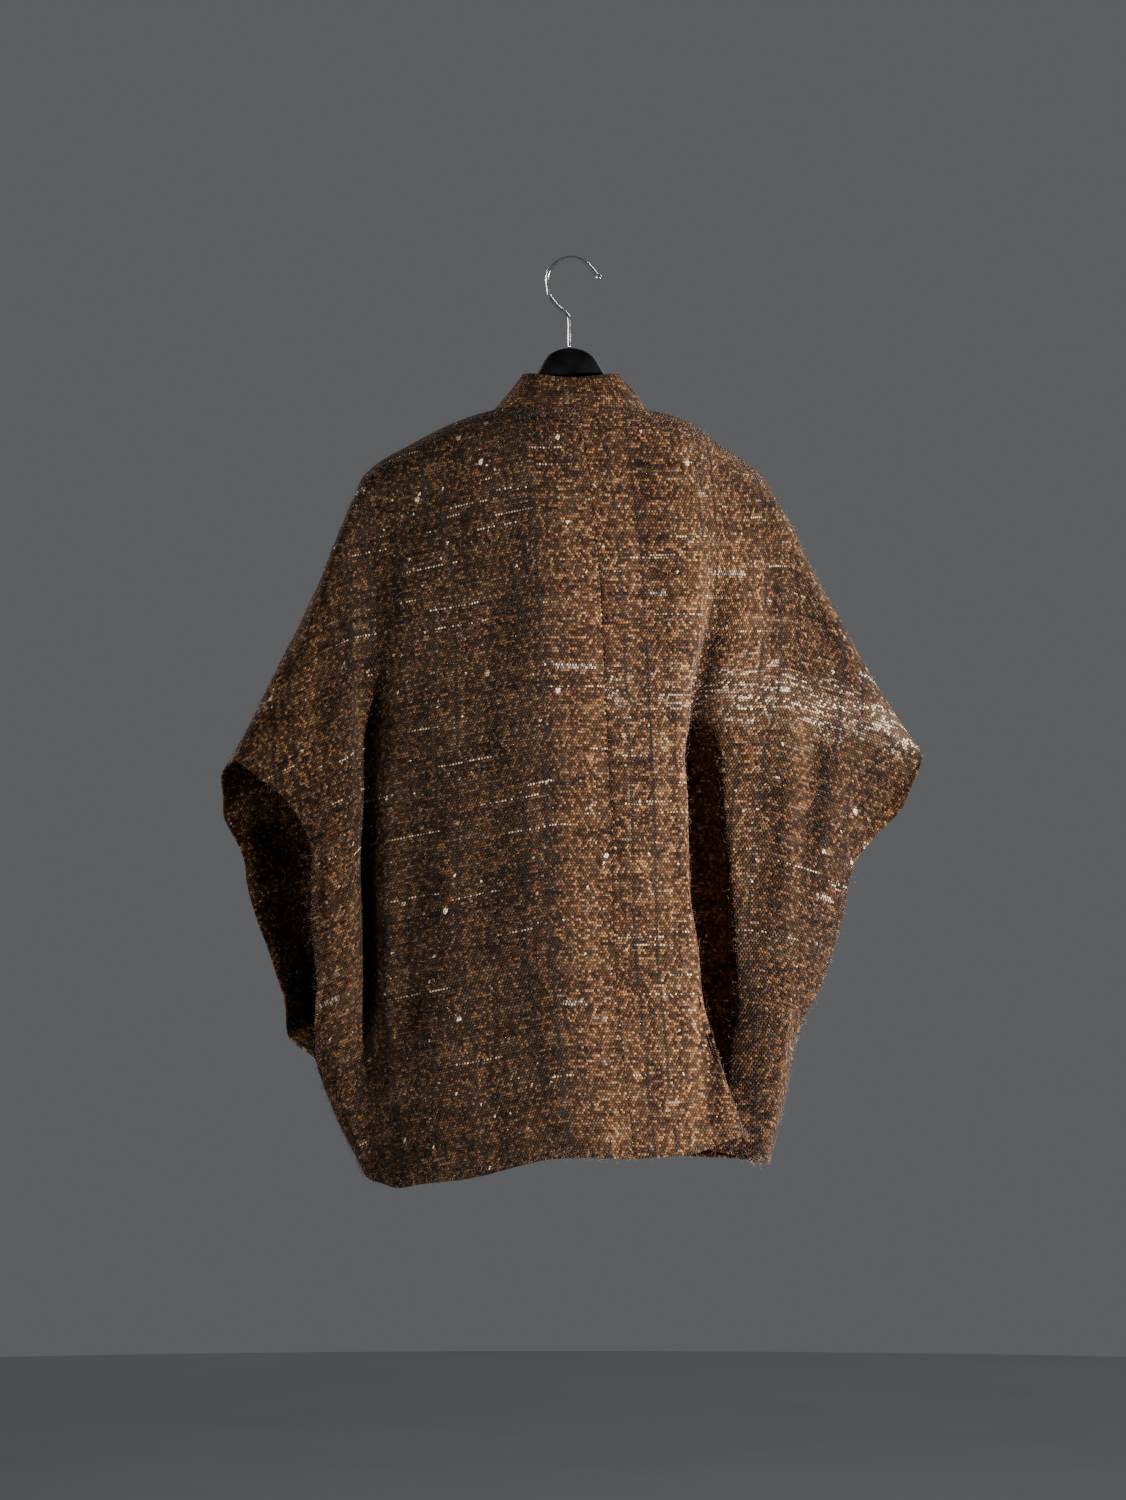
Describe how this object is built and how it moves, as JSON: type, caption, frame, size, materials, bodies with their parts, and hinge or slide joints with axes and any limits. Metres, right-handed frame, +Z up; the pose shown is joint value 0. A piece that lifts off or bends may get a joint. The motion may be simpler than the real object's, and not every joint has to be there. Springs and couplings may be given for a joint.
{
  "type": "tweed jacket on hanger",
  "caption": "Wide hand-woven tweed jacket with cut-on sleeves and a stand collar, hanging open on a black hanger with a wire hook.",
  "frame": {"origin": "the inside of the crown of the hanger's hook, where a rail carries it", "axes": "+Z up; the jacket's back faces +Y and its front -Y; its wearer's left is +X"},
  "size_m": [0.7054, 0.1274, 0.9339],
  "materials": {
    "tweed": "coarse hand-woven heather tweed, brown and rust with cream slubs, softly hairy",
    "hanger_plastic": "matt black",
    "hook_wire": "bright plated wire"
  },
  "bodies": {
    "root": {"back_right": "tweed", "back_left": "tweed", "front_right": "tweed", "front_left": "tweed", "collar": "tweed", "hanger": "hanger_plastic", "hook": "hook_wire"}
  },
  "joints": []
}
